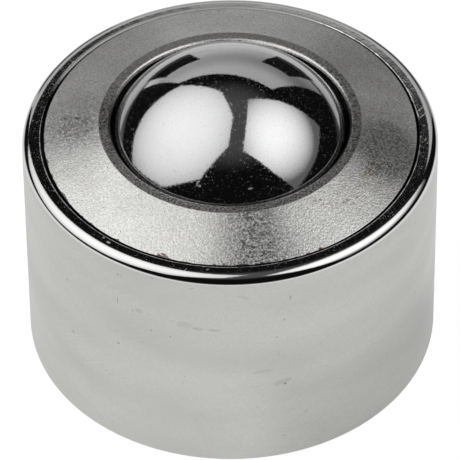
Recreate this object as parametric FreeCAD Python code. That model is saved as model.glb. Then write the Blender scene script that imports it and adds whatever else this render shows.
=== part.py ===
import FreeCAD, Part
import math
import os

# Ball castor: a rolled-over steel cup holds a hemispherical race, a bed of small balls, a felt wiper
# and a conical cap ring, and one large ball stands out of the cap.
# Lengths in millimetres. The origin is the centre of the flat base, and +Z points out through the ball.

# Balls
ball_radius = 15.0
bearing_ball_radius = 2.0
bed_clearance = 0.15  # between the bed of small balls and each surface it runs on
ring_spacing = 0.05  # between the small balls of neighbouring rings
loose_rings = 3  # rings whose small balls are pieces of their own; each higher ring is one group

# Race cup
race_wall = 1.2
race_flat_depth = 0.2  # how far the bottom of the cup is pressed flat, to stand on the floor
race_collar_height = 3.8  # straight collar above the centre of the ball
race_rim_overhang = 1.1  # how far the turned-out rim passes the wall of the cup
race_corner_round = 0.3

# Housing
housing_wall = 1.3
floor_thickness = 1.5
housing_fit = 0.1  # radial clearance of what is dropped into the housing
base_edge_round = 0.5
inside_corner_round = 1.0
lip_thickness = 1.3
lip_width = 2.1  # from the outside of the housing in to the edge of the lip
lip_outer_round = 1.1
lip_edge_round = 0.2

# Cap ring
cap_sheet = 1.3
lip_gap = 0.25  # visible gap between the edge of the lip and the cap
cone_foot_drop = 0.1  # foot of the cone below the top of the lip
cone_rise = 1.98  # from the foot of the cone to the land
land_width = 1.29
bore_wall_height = 0.5
ball_gap = 0.33  # between the cap and the ball
cone_foot_round = 0.1
bore_edge_round = 0.45

# Felt wiper
wiper_base_rise = 0.6  # underside of the felt above the centre of the ball
wiper_head_gap = 0.3  # between the top of the felt and the cap
wiper_fit = 0.1  # radial clearance in the race cup and in the cap
wiper_ball_gap = 0.3

# Radii, from the ball outwards
bed_radius = ball_radius + bed_clearance + bearing_ball_radius
race_inner_radius = bed_radius + bearing_ball_radius + bed_clearance
race_outer_radius = race_inner_radius + race_wall
rim_radius = race_outer_radius + race_rim_overhang
housing_inner_radius = rim_radius + housing_fit
body_radius = housing_inner_radius + housing_wall
lip_inner_radius = body_radius - lip_width

# Heights, from the base upwards
ball_z = floor_thickness + race_outer_radius - race_flat_depth
race_top_z = ball_z + race_collar_height
cap_flange_top_z = race_top_z + cap_sheet
body_height = cap_flange_top_z + lip_thickness
cone_foot_z = body_height - cone_foot_drop
land_z = cone_foot_z + cone_rise
bore_lower_z = land_z - bore_wall_height
wiper_base_z = ball_z + wiper_base_rise

# Section of the cap ring, and the wiper inside it
cap_step_radius = lip_inner_radius - lip_gap
cap_inner_radius = cap_step_radius - cap_sheet
bore_radius = math.sqrt((ball_radius + ball_gap) ** 2 - (bore_lower_z - ball_z) ** 2)
land_radius = bore_radius + land_width
cone_slope = cone_rise / (cap_step_radius - land_radius)
sheet_drop = cap_sheet * math.hypot(1, cone_slope)  # thickness of the cone, measured straight down
underside_z = cone_foot_z + cone_slope * cap_sheet - sheet_drop
wiper_outer_radius = min(race_inner_radius, cap_inner_radius) - wiper_fit


def at(radius, z):
    """Point of a half section."""
    return FreeCAD.Vector(radius, 0, z)


def line(start, end):
    return Part.LineSegment(start, end).toShape()


def arc_about_ball(radius, start_angle, end_angle):
    """Arc of a half section about the centre of the ball, with angles up from the horizontal."""
    points = []
    for angle in (start_angle, (start_angle + end_angle) / 2, end_angle):
        turn = math.radians(angle)
        points.append(at(radius * math.cos(turn), ball_z + radius * math.sin(turn)))
    return Part.Arc(*points).toShape()


def turned(edges):
    """Solid of revolution about Z, from the edges of its half section."""
    section = Part.Face(Part.Wire(edges))
    return section.revolve(FreeCAD.Vector(0, 0, 0), FreeCAD.Vector(0, 0, 1), 360)


def turned_polygon(corners):
    edges = [line(start, end) for start, end in zip(corners, corners[1:] + corners[:1])]
    return turned(edges)


def round_circle(solid, corner, radius):
    """Round the circular edge that one corner of the half section draws."""
    circles = []
    for edge in solid.Edges:
        if edge.Degenerated or not isinstance(edge.Curve, Part.Circle):
            continue
        circle = edge.Curve
        same_radius = abs(circle.Radius - corner.x) < 1e-4
        same_height = abs(circle.Center.z - corner.z) < 1e-4
        if same_radius and same_height and abs(circle.Axis.z) > 0.999:
            circles.append(edge)
    return solid.makeFillet(radius, circles)


def make_housing():
    """Drawn cup with its rim rolled inwards over the cap."""
    base_corner = at(body_radius, 0)
    floor_corner = at(housing_inner_radius, floor_thickness)
    lip_corner = at(body_radius, body_height)
    lip_edge = at(lip_inner_radius, body_height)
    cup = turned_polygon([
        at(0, 0),
        base_corner,
        lip_corner,
        lip_edge,
        at(lip_inner_radius, cap_flange_top_z),
        at(housing_inner_radius, cap_flange_top_z),
        floor_corner,
        at(0, floor_thickness),
    ])
    cup = round_circle(cup, base_corner, base_edge_round)
    cup = round_circle(cup, floor_corner, inside_corner_round)
    cup = round_circle(cup, lip_corner, lip_outer_round)
    return round_circle(cup, lip_edge, lip_edge_round)


def make_race_cup():
    """Hemispherical cup with a flat bottom, a straight collar and a turned-out rim."""
    flat_angle = -math.degrees(math.asin((race_outer_radius - race_flat_depth) / race_outer_radius))
    flat_radius = race_outer_radius * math.cos(math.radians(flat_angle))
    pole = at(0, ball_z - race_inner_radius)
    flat_centre = at(0, floor_thickness)
    flat_edge = at(flat_radius, floor_thickness)
    neck = at(race_outer_radius, race_top_z - race_wall)
    rim_lower = at(rim_radius, race_top_z - race_wall)
    rim_upper = at(rim_radius, race_top_z)
    mouth = at(race_inner_radius, race_top_z)
    cup = turned([
        line(pole, flat_centre),
        line(flat_centre, flat_edge),
        arc_about_ball(race_outer_radius, flat_angle, 0),
        line(at(race_outer_radius, ball_z), neck),
        line(neck, rim_lower),
        line(rim_lower, rim_upper),
        line(rim_upper, mouth),
        line(mouth, at(race_inner_radius, ball_z)),
        arc_about_ball(race_inner_radius, 0, -90),
    ])
    cup = round_circle(cup, mouth, race_corner_round)
    return round_circle(cup, neck, race_corner_round)


def make_cap_ring():
    """Pressed ring: a flange under the lip, a step up to the cone, a flat land and the bore."""
    cone_foot = at(cap_step_radius, cone_foot_z)
    bore_top = at(bore_radius, land_z)
    ring = turned_polygon([
        at(rim_radius, race_top_z),
        at(rim_radius, cap_flange_top_z),
        at(cap_step_radius, cap_flange_top_z),
        cone_foot,
        at(land_radius, land_z),
        bore_top,
        at(bore_radius, land_z - sheet_drop),
        at(land_radius, land_z - sheet_drop),
        at(cap_inner_radius, underside_z),
        at(cap_inner_radius, race_top_z),
    ])
    ring = round_circle(ring, cone_foot, cone_foot_round)
    ring = round_circle(ring, bore_top, bore_edge_round)
    return ring.cut(Part.makeSphere(ball_radius + ball_gap, at(0, ball_z)))


def make_wiper_ring():
    """Felt ring in the collar of the race cup, hollowed to follow the ball."""
    height = underside_z - wiper_head_gap - wiper_base_z
    blank = Part.makeCylinder(wiper_outer_radius, height, at(0, wiper_base_z))
    return blank.cut(Part.makeSphere(ball_radius + wiper_ball_gap, at(0, ball_z)))


def make_bearing_rings():
    """Bed of small balls under the large one: a list of rings, from the single ball at the bottom."""
    ring_step = 2 * math.asin((bearing_ball_radius + ring_spacing / 2) / bed_radius)
    rings = [[Part.makeSphere(bearing_ball_radius, at(0, ball_z - bed_radius))]]
    polar_angle = ring_step
    while ball_z - bed_radius * math.cos(polar_angle) + bearing_ball_radius < wiper_base_z:
        ring_radius = bed_radius * math.sin(polar_angle)
        ring_z = ball_z - bed_radius * math.cos(polar_angle)
        count = int(math.pi / math.asin(bearing_ball_radius / ring_radius))
        ring = []
        for index in range(count):
            turn = 2 * math.pi * index / count
            centre = FreeCAD.Vector(ring_radius * math.cos(turn), ring_radius * math.sin(turn), ring_z)
            ring.append(Part.makeSphere(bearing_ball_radius, centre))
        rings.append(ring)
        polar_angle += ring_step
    return rings


def make_load_ball():
    return Part.makeSphere(ball_radius, at(0, ball_z))


def export(node, shape):
    shape.exportStep("parts/" + node + ".step")


os.makedirs("parts", exist_ok=True)
export("housing", make_housing())
export("race_cup", make_race_cup())
export("cap_ring", make_cap_ring())
export("wiper_ring", make_wiper_ring())
export("load_ball", make_load_ball())
for number, ring in enumerate(make_bearing_rings()):
    if number > loose_rings:
        export("bearing_ring_" + str(number), Part.makeCompound(ring))
        continue
    for index, ball in enumerate(ring):
        export("bearing_ball_" + str(number) + "_" + str(index + 1), ball)
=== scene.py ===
import math

import bmesh
import bpy
from mathutils import Matrix, Vector


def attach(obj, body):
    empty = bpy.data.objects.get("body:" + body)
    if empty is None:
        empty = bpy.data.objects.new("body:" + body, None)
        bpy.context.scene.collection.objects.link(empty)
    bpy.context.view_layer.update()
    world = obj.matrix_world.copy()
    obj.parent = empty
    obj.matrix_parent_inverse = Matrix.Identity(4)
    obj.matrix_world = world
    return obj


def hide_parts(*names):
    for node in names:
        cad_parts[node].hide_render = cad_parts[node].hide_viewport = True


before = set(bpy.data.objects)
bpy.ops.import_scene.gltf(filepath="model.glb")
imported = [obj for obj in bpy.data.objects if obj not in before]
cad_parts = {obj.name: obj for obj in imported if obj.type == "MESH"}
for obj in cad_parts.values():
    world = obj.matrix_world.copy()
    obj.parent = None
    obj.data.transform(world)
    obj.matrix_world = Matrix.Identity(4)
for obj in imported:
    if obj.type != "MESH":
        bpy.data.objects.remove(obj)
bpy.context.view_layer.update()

# Ball castor: a plated steel cup with a polished rolled lip, a satin conical cap, and a chromed ball.
# Sections are in millimetres, as in the part's source, and everything in Blender is in metres.
MM = 0.001
UP = Vector((0, 0, 1))
CENTRE_LINE = (0, 0, 0)

# Housing section
BODY_RADIUS = 23.0
BODY_HEIGHT = 28.2
HOUSING_INNER_RADIUS = 21.7
FLOOR_THICKNESS = 1.5
LIP_INNER_RADIUS = 20.9
LIP_UNDERSIDE_Z = 26.9
BASE_EDGE_ROUND = 0.5
INSIDE_CORNER_ROUND = 1.0
LIP_OUTER_ROUND = 1.1
LIP_EDGE_ROUND = 0.2
LIP_FALL = 0.008  # the top of the lip falls this much on its way out to the next radius, and then runs level
LIP_LEVEL_RADIUS = 21.75

# Cap section
CAP_FLANGE_RADIUS = 21.6
CAP_FLANGE_LOWER_Z = 25.6
CAP_STEP_RADIUS = 20.65
CAP_INNER_RADIUS = 19.35
CONE_FOOT_Z = 28.1
CONE_FOOT_ROUND = 0.1
LAND_Z = 30.08
LAND_RADIUS = 14.499
BORE_RADIUS = 13.209
BORE_WALL_HEIGHT = 0.5
BORE_UNDERSIDE_RADIUS = 13.682
BORE_EDGE_ROUND = 0.45
CAP_SHEET_DROP = 1.366
CAP_UNDERSIDE_Z = 27.153
CAP_SHIFT = (0.03, 0.07, 0.0)  # the pressed cap sits this far off centre, and leans towards the camera
CAP_LEAN_DEGREES = 0.45
CAP_SEAT_ROOM = 0.17  # taken off the hidden flange above and below, so that the cap can lean
CONE_SLOPE = (LAND_Z - CONE_FOOT_Z) / (CAP_STEP_RADIUS - LAND_RADIUS)

# Load ball
BALL_RADIUS = 15.0
BALL_Z = 21.8

# Fineness of the pieces
TURN_STEPS = 360
ROUND_STEPS = 10
LONG_RUN = 0.6  # straight runs of a section that are longer than this are split near both ends
LONG_REST = 0.4  # what the first split leaves has to be longer than this for the second one
SUPPORT_DISTANCE = 0.08  # from an end to its split
SUPPORT_SHARE = 0.04  # of the run at most
MERGE_DISTANCE = 0.0001
SHARP_EDGE_DEGREES = 40
BALL_MERIDIANS = 256
BALL_PARALLELS = 128

# Camera, as recovered from the circles in the photograph; its turns are in radians
PHOTO_SIZE = 460
PHOTO_CENTRE = 229.5
FOCAL_PIXELS = 5051.2
SENSOR_MM = 36.0
CAMERA_PITCH = 0.7684
CAMERA_ROLL = -0.0109
CAMERA_DISTANCE = 557.8
CAMERA_DROP = -10.62
CAMERA_SEES_FROM = 0.01
CAMERA_SEES_TO = 10
CAP_SEARCH_ROUNDS = 6


def direction(azimuth, elevation):
    """Unit vector; azimuth is in degrees from the camera's side (-Y), positive to the right."""
    turn, rise = math.radians(azimuth), math.radians(elevation)
    return Vector((math.cos(rise) * math.sin(turn), -math.cos(rise) * math.cos(turn), math.sin(rise)))


def camera_axes():
    """Right, up and forward of the photograph's camera, and its position in metres."""
    forward = Vector((0, math.cos(CAMERA_PITCH), -math.sin(CAMERA_PITCH)))
    right = Vector((1, 0, 0))
    up = right.cross(forward)
    rolled_right = math.cos(CAMERA_ROLL) * right + math.sin(CAMERA_ROLL) * up
    rolled_up = -math.sin(CAMERA_ROLL) * right + math.cos(CAMERA_ROLL) * up
    lip_centre = Vector((0, 0, BODY_HEIGHT))
    place = (lip_centre - forward * CAMERA_DISTANCE + rolled_up * CAMERA_DROP) * MM
    return rolled_right, rolled_up, forward, place


def add_camera():
    right, up, forward, place = camera_axes()
    camera = bpy.data.objects.new("photo_camera", bpy.data.cameras.new("photo_camera"))
    bpy.context.scene.collection.objects.link(camera)
    camera.data.sensor_width = SENSOR_MM
    camera.data.lens = FOCAL_PIXELS * SENSOR_MM / PHOTO_SIZE
    camera.data.clip_start = CAMERA_SEES_FROM
    camera.data.clip_end = CAMERA_SEES_TO
    turn = Matrix((right, up, -forward)).transposed()
    camera.matrix_world = Matrix.Translation(place) @ turn.to_4x4()
    bpy.context.scene.camera = camera


def pixel_ray(pixel):
    """Camera's place and the ray through a pixel of the photograph."""
    right, up, forward, place = camera_axes()
    across = (pixel[0] - PHOTO_CENTRE) / FOCAL_PIXELS
    down = (pixel[1] - PHOTO_CENTRE) / FOCAL_PIXELS
    return place, forward + across * right - down * up


def nearer_crossing(square, half_linear, constant):
    """Smaller root of a quadratic, as the travel along a ray to where it goes into a round piece."""
    return (-half_linear - math.sqrt(half_linear**2 - square * constant)) / square


def wall_place(pixel):
    """Distance round the wall from the front, and height, in metres, of a pixel of the photograph."""
    place, ray = pixel_ray(pixel)
    radius = BODY_RADIUS * MM
    travel = nearer_crossing(ray.xy.length_squared, place.xy.dot(ray.xy), place.xy.length_squared - radius**2)
    point = place + travel * ray
    return math.atan2(point.x, -point.y) * radius, point.z, radius


def ball_place(pixel):
    """Point of the ball under a pixel, in metres."""
    place, ray = pixel_ray(pixel)
    centre = UP * BALL_Z * MM
    reach = place - centre
    outside = reach.length_squared - (BALL_RADIUS * MM) ** 2
    travel = nearer_crossing(ray.length_squared, reach.dot(ray), outside)
    return place + travel * ray


def level_place(pixel, height):
    """Point under a pixel, in metres, on a level plane at a height in millimetres."""
    place, ray = pixel_ray(pixel)
    return place + ray * ((height * MM - place.z) / ray.z)


def lip_place(pixel):
    return level_place(pixel, BODY_HEIGHT)


def cap_place(pixel):
    """Point of the land or the cone under a pixel, in metres."""
    height = LAND_Z
    for _ in range(CAP_SEARCH_ROUNDS):
        point = level_place(pixel, height)
        height = LAND_Z - CONE_SLOPE * max(point.xy.length / MM - LAND_RADIUS, 0)
    return point


# Nodes


def feed(tree, socket, value):
    """Link a socket to another node's output, or give it a plain value."""
    if isinstance(value, bpy.types.NodeSocket):
        tree.links.new(value, socket)
    else:
        socket.default_value = value


def calculate(tree, operation, *values):
    node = tree.nodes.new("ShaderNodeMath")
    node.operation = operation
    for socket, value in zip(node.inputs, values):
        feed(tree, socket, value)
    return node.outputs[0]


def multiply(tree, first, second):
    return calculate(tree, "MULTIPLY", first, second)


def add(tree, first, second):
    return calculate(tree, "ADD", first, second)


def larger(tree, first, second):
    return calculate(tree, "MAXIMUM", first, second)


def opposite(tree, mask):
    return calculate(tree, "SUBTRACT", 1.0, mask)


def sum_of_squares(tree, first, second):
    return add(tree, multiply(tree, first, first), multiply(tree, second, second))


def calculate_vector(tree, operation, first, second):
    node = tree.nodes.new("ShaderNodeVectorMath")
    node.operation = operation
    feed(tree, node.inputs[0], first)
    feed(tree, node.inputs[1], second)
    return node.outputs["Value" if operation == "DOT_PRODUCT" else "Vector"]


def separate(tree, vector):
    """The X, Y and Z of a vector."""
    node = tree.nodes.new("ShaderNodeSeparateXYZ")
    feed(tree, node.inputs[0], vector)
    return node.outputs


def between(tree, value, low, high, at_low=0.0, at_high=1.0):
    """Smooth step of a value from low to high."""
    node = tree.nodes.new("ShaderNodeMapRange")
    node.interpolation_type = "SMOOTHSTEP"
    for name, number in (("Value", value), ("From Min", low), ("From Max", high)):
        feed(tree, node.inputs[name], number)
    feed(tree, node.inputs["To Min"], at_low)
    feed(tree, node.inputs["To Max"], at_high)
    return node.outputs["Result"]


def up_to(tree, value, low, high):
    """Smooth mask that is 1 up to low and 0 from high on."""
    return between(tree, value, low, high, 1.0, 0.0)


def within(tree, measure, edge, reach):
    """Mask of what lies inside an edge. It ends over a reach from that edge, both in millimetres."""
    return up_to(tree, measure, (edge + reach[0]) * MM, (edge + reach[1]) * MM)


def beyond(tree, measure, edge, reach):
    """Mask of what lies outside an edge. It starts over a reach from that edge, both in millimetres."""
    return between(tree, measure, (edge + reach[0]) * MM, (edge + reach[1]) * MM)


def noise(tree, vector, scale, detail=2.0, roughness=0.5, distortion=0.0):
    node = tree.nodes.new("ShaderNodeTexNoise")
    feed(tree, node.inputs["Vector"], vector)
    feed(tree, node.inputs["Scale"], scale)
    node.inputs["Detail"].default_value = detail
    node.inputs["Roughness"].default_value = roughness
    node.inputs["Distortion"].default_value = distortion
    return node.outputs["Fac"]


def patches(tree, place, look):
    """Noise taken through a smooth step; the look holds the settings of both."""
    pattern, step = look
    return between(tree, noise(tree, place, *pattern), *step)


def bump(tree, height, strength, distance):
    node = tree.nodes.new("ShaderNodeBump")
    feed(tree, node.inputs["Height"], height)
    node.inputs["Strength"].default_value = strength
    node.inputs["Distance"].default_value = distance
    return node.outputs["Normal"]


def mix_colours(tree, share, first, second, blend="MIX"):
    node = tree.nodes.new("ShaderNodeMix")
    node.data_type = "RGBA"
    node.blend_type = blend
    feed(tree, node.inputs["Factor"], share)
    feed(tree, node.inputs["A"], first)
    feed(tree, node.inputs["B"], second)
    return node.outputs["Result"]


def shaded(tree, colour, factor):
    return mix_colours(tree, 1.0, colour, factor, "MULTIPLY")


def grey(level):
    return (level, level, level, 1.0)


def darken(tree, colour, mask, share=1.0):
    """Multiply a colour down by a share where the mask is 1."""
    return mix_colours(tree, multiply(tree, mask, share), colour, grey(0.0))


def object_place(tree):
    return tree.nodes.new("ShaderNodeTexCoord").outputs["Object"]


def use_group(tree, group, **values):
    node = tree.nodes.new("ShaderNodeGroup")
    node.node_tree = group
    for name, value in values.items():
        feed(tree, node.inputs[name.replace("_", " ")], value)
    return node.outputs


# Effects shared by the materials


def new_group(name, inputs, outputs):
    """Empty node group; inputs and outputs are (name, socket type) pairs."""
    group = bpy.data.node_groups.new(name, "ShaderNodeTree")
    for title, kind in inputs:
        group.interface.new_socket(title, in_out="INPUT", socket_type=kind)
    for title, kind in outputs:
        group.interface.new_socket(title, in_out="OUTPUT", socket_type=kind)
    entry = group.nodes.new("NodeGroupInput").outputs
    leaving = group.nodes.new("NodeGroupOutput").inputs
    return group, entry, leaving


FLOAT, VECTOR = "NodeSocketFloat", "NodeSocketVector"
LEAST_DOT_SHARE = 0.3
DOT_CORE_SHARE = 0.4
STREAK_STRETCH = (0.04, 1.0, 0.0)
MARK_EDGE = (0.05, 0.25)  # squares of the share of a mark's length or width from its middle


def turned_place_group():
    """Where a point is on a turned piece: its radius, its distance round from the front, its height."""
    outputs = [("Radius", FLOAT), ("Round", FLOAT), ("Height", FLOAT), ("Unrolled", VECTOR)]
    group, entry, leaving = new_group("Place on a turned piece", [("Place", VECTOR)], outputs)
    x, y, z = separate(group, entry["Place"])
    radius = calculate(group, "SQRT", sum_of_squares(group, x, y))
    angle = calculate(group, "ARCTAN2", x, multiply(group, y, -1.0))
    around = multiply(group, angle, radius)
    joined = group.nodes.new("ShaderNodeCombineXYZ")
    for socket, value in zip(joined.inputs, (around, z, radius)):
        feed(group, socket, value)
    unrolled = joined.outputs[0]
    for name, value in (("Radius", radius), ("Round", around), ("Height", z), ("Unrolled", unrolled)):
        feed(group, leaving[name], value)
    return group


def specks_group():
    """Scattered dots of uneven size: 1 inside a dot, 0 elsewhere."""
    inputs = [("Place", VECTOR), ("Cells per metre", FLOAT), ("Dot size", FLOAT), ("Share of cells", FLOAT)]
    group, entry, leaving = new_group("Scattered specks", inputs, [("Mask", FLOAT)])
    cells = group.nodes.new("ShaderNodeTexVoronoi")
    feed(group, cells.inputs["Vector"], entry["Place"])
    feed(group, cells.inputs["Scale"], entry["Cells per metre"])
    chance = group.nodes.new("ShaderNodeSeparateColor")
    feed(group, chance.inputs[0], cells.outputs["Color"])
    kept = calculate(group, "LESS_THAN", chance.outputs[0], entry["Share of cells"])
    size = multiply(group, entry["Dot size"], add(group, chance.outputs[1], LEAST_DOT_SHARE))
    dot = up_to(group, cells.outputs["Distance"], multiply(group, size, DOT_CORE_SHARE), size)
    feed(group, leaving["Mask"], multiply(group, dot, kept))
    return group


def about_one(group, pattern, depth):
    """Pattern of 0 to 1 as a factor about 1."""
    centred = calculate(group, "SUBTRACT", pattern, 0.5)
    return add(group, multiply(group, centred, depth), 1.0)


def grain_group():
    """Fine uneven grain about 1, for multiplying a colour or a roughness."""
    inputs = [("Place", VECTOR), ("Grains per metre", FLOAT), ("Depth", FLOAT)]
    group, entry, leaving = new_group("Metal grain", inputs, [("Factor", FLOAT), ("Raw", FLOAT)])
    fine = noise(group, entry["Place"], entry["Grains per metre"], detail=3.0, roughness=0.7)
    feed(group, leaving["Factor"], about_one(group, fine, entry["Depth"]))
    feed(group, leaving["Raw"], fine)
    return group


def turned_by(tree, vector, angle):
    """Vector turned about Z."""
    node = tree.nodes.new("ShaderNodeVectorRotate")
    node.rotation_type = "Z_AXIS"
    feed(tree, node.inputs["Vector"], vector)
    feed(tree, node.inputs["Angle"], angle)
    return node.outputs[0]


def brushing_group():
    """Fine straight streaks at one slant on the unrolled wall, about 1."""
    inputs = [("Unrolled", VECTOR), ("Slant", FLOAT), ("Streaks per metre", FLOAT), ("Depth", FLOAT)]
    group, entry, leaving = new_group("Brushing", inputs, [("Factor", FLOAT)])
    slanted = turned_by(group, entry["Unrolled"], entry["Slant"])
    stretched = calculate_vector(group, "MULTIPLY", slanted, STREAK_STRETCH)
    streaks = noise(group, stretched, entry["Streaks per metre"], detail=3.0, roughness=0.6)
    feed(group, leaving["Factor"], about_one(group, streaks, entry["Depth"]))
    return group


def mark_group():
    """One soft-edged mark: 1 in its middle, 0 outside. It is laid on by the first two axes of its place."""
    inputs = [("Place", VECTOR), ("Middle", VECTOR), ("Slant", FLOAT), ("Length", FLOAT), ("Width", FLOAT)]
    group, entry, leaving = new_group("Mark", inputs, [("Mask", FLOAT)])
    offset = calculate_vector(group, "SUBTRACT", entry["Place"], entry["Middle"])
    along, across, _ = separate(group, turned_by(group, offset, multiply(group, entry["Slant"], -1.0)))
    length_share = calculate(group, "DIVIDE", along, entry["Length"])
    width_share = calculate(group, "DIVIDE", across, entry["Width"])
    off_middle = sum_of_squares(group, length_share, width_share)
    feed(group, leaving["Mask"], up_to(group, off_middle, *MARK_EDGE))
    return group


TURNED_PLACE = turned_place_group()
SPECKS = specks_group()
GRAIN = grain_group()
BRUSHING = brushing_group()
MARK = mark_group()


def new_material(name):
    """Material with a Principled shader: the tree and the shader node."""
    material = bpy.data.materials.new(name)
    material.use_nodes = True
    tree = material.node_tree
    shader = tree.nodes["Principled BSDF"]
    return material, tree, shader


def specks(tree, place, pattern):
    return use_group(tree, SPECKS, Place=place, **pattern)["Mask"]


def marks_mask(tree, place, marks, place_of):
    """Mask of a table of marks; each row is a pixel, length, width, slant in degrees and strength."""
    mask = 0.0
    for pixel, length, width, slant, strength in marks:
        mark = use_group(tree, MARK, Place=place, Middle=place_of(pixel), Slant=math.radians(slant),
                         Length=length * MM, Width=width * MM)["Mask"]
        mask = larger(tree, mask, multiply(tree, mark, strength))
    return mask


def towards(tree, place, azimuth, radius, spread):
    """Mask of the side of a turned piece that faces an azimuth, from its share of a radius in millimetres."""
    axis = direction(azimuth, 0) / (radius * MM)
    return between(tree, calculate_vector(tree, "DOT_PRODUCT", place, axis), *spread)


def sector(tree, turned, azimuth, reach):
    """Mask of a sector of a turned piece; it fades between two angles in degrees from its azimuth."""
    angle = calculate(tree, "DIVIDE", turned["Round"], turned["Radius"])
    off_middle = calculate(tree, "ABSOLUTE", calculate(tree, "SUBTRACT", angle, math.radians(azimuth)))
    return up_to(tree, off_middle, math.radians(reach[0]), math.radians(reach[1]))


# Finishes
# A noise is its scale per metre, detail, roughness and distortion. Patches are a noise and its smooth step.
# A bump is its strength and its height in metres. A reach is where a mask starts and ends, in millimetres
# outwards or up from an edge. A spread is where one starts and is full, as shares of a radius.

# Plated steel
WALL_COLOUR = (0.690, 0.687, 0.662, 1.0)
WALL_ROUGHNESS = 0.28
WALL_CLOUDS = (55.0, 4.0)
WALL_CLOUD_STRETCH = (1.0, 1.0, 3.0)
WALL_CLOUD_SHADES = (0.94, 1.03)
WALL_CLOUD_POLISH = (1.10, 0.92)
BRUSHING_LEFT = {"Slant": math.radians(60), "Streaks_per_metre": 3000.0, "Depth": 0.16}
BRUSHING_RIGHT = {"Slant": math.radians(-35), "Streaks_per_metre": 3200.0, "Depth": 0.14}
BRUSHING_PATCHES = ((90.0, 1.0), (0.44, 0.56))
BRUSHING_SHOWN = ((120.0, 2.0), (0.35, 0.65))
WALL_GRAIN = {"Grains_per_metre": 4200.0, "Depth": 0.24}
WALL_DENTS = (700.0, 3.0, 0.6)
WALL_DENT_BUMP = (0.10, 0.00006)
WALL_PIT_CROWDS = ((130.0, 1.0), (0.42, 0.62))
WALL_PITS = {"Cells_per_metre": 900.0, "Dot_size": 0.11, "Share_of_cells": 0.45}
WALL_PIT_DARKNESS = 0.55
LIP_COLOUR = (0.880, 0.880, 0.870, 1.0)
LIP_ROUGHNESS = 0.08
LIP_NICKS = ((4600.0, 3.0, 0.6), (0.55, 0.72))
LIP_NICK_CROWDS = ((420.0, 2.0), (0.35, 0.65, 0.30, 1.0))
LIP_NICK_STRENGTH = 0.6
LIP_SCRATCH_ROUGHNESS = 0.5
LIP_CHIPS = ((900.0, 4.0, 0.7), (0.42, 0.60, 0.0, 0.6))
LIP_EDGE_DARKNESS_AT_UNSHADED_GAP = 0.2
LIP_STARTS_Z = 27.20
LIP_BLEND_REACH = (0.0, 0.15)
LIP_FLAT_RADIUS = 21.95
LIP_FLAT_REACH = (0.0, 0.3)
# Reach of the painted shade on the inner face of the lip, inside the gap
LIP_GAP_SHADE_REACH = (0.02, 0.12)
LIP_WEAR_REACH = (0.15, 0.30)
LIP_MATT_REACH = (0.20, 0.45)
# Near-black painted shade inside the gap between the lip and the cap, which also colours the ragged, dirty
# edge on the cone; along one stretch at the back left none is painted
GAP_SHADE_AND_DIRT_COLOUR = (0.030, 0.026, 0.022, 1.0)
GAP_SHADE_REACH = (-0.25, -0.10)
UNSHADED_GAP_AZIMUTH = -163
UNSHADED_GAP_SPREAD = (0.55, 0.80)
NOISE_MIDDLE = (0.30, 0.70)  # where most values of a noise lie

# Marks: pixel of the photograph, length and width in millimetres, slant in degrees, strength
WALL_MARKS = (
    ((66.7, 279.0), 0.55, 0.16, -50, 0.55),
    ((73.0, 331.5), 0.60, 0.20, -55, 0.65),
    ((118.0, 342.5), 0.50, 0.16, 0, 0.65),
    ((117.0, 299.5), 1.30, 0.10, 88, 0.50),
    ((117.0, 274.0), 0.60, 0.12, 50, 0.45),
    ((120.5, 276.0), 0.50, 0.12, -50, 0.40),
    ((151.5, 277.5), 0.26, 0.24, 0, 0.45),
    ((191.0, 288.0), 1.00, 0.10, 20, 0.35),
    ((290.0, 297.0), 0.80, 0.14, 75, 0.55),
    ((284.8, 383.0), 0.34, 0.28, 0, 0.70),
    ((289.5, 378.5), 0.28, 0.18, 0, 0.45),
    ((354.5, 373.0), 0.22, 0.20, 0, 0.50),
    ((386.0, 352.5), 0.24, 0.20, 0, 0.45),
    ((341.0, 377.5), 0.20, 0.18, 0, 0.45),
    ((325.8, 365.5), 0.20, 0.18, 0, 0.45),
    ((278.0, 354.0), 1.00, 0.12, 70, 0.20),
    ((169.8, 336.2), 0.20, 0.18, 0, 0.50),
    ((184.0, 324.0), 2.20, 1.20, 0, 0.10),
    ((197.5, 328.5), 1.60, 0.60, 0, 0.16),
    ((213.5, 330.0), 1.80, 0.50, 0, 0.14),
    ((138.5, 310.0), 1.20, 0.80, 0, 0.12),
    ((282.0, 381.0), 2.40, 0.90, 8, 0.14),
    ((262.0, 371.0), 3.20, 0.70, 5, 0.10),
    ((243.0, 297.0), 1.80, 0.60, -25, 0.08),
)
LIP_SCRATCHES = (
    ((419.3, 108.8), 1.30, 0.16, 49, 1.0),
    ((422.3, 114.8), 1.60, 0.16, 46, 1.0),
    ((417.6, 114.2), 1.20, 0.18, -77, 1.0),
    ((411.6, 98.8), 0.40, 0.34, 0, 1.0),
    ((409.0, 91.0), 1.50, 0.24, -64, 0.9),
    ((412.0, 88.0), 0.50, 0.20, 20, 0.6),
    ((423.5, 125.0), 0.35, 0.30, 0, 0.5),
    ((425.0, 139.0), 0.60, 0.30, 60, 0.4),
    ((420.5, 136.0), 0.50, 0.30, 80, 0.4),
    ((108.0, 241.8), 0.65, 0.34, -35, 1.0),
    ((103.0, 237.0), 0.45, 0.25, -35, 0.7),
    ((185.0, 269.0), 0.70, 0.22, 50, 0.5),
    ((207.0, 269.0), 0.50, 0.30, 40, 0.5),
    ((72.4, 61.6), 0.60, 0.20, 60, 0.9),
    ((68.9, 66.1), 0.70, 0.22, 70, 1.0),
    ((65.4, 70.6), 0.70, 0.22, 55, 1.0),
    ((61.4, 76.6), 0.60, 0.22, 40, 1.0),
    ((57.9, 82.1), 0.70, 0.20, 20, 0.9),
    ((54.9, 89.1), 0.50, 0.20, 60, 0.7),
    ((41.0, 121.0), 0.30, 0.60, 0, 0.9),
)


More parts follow.
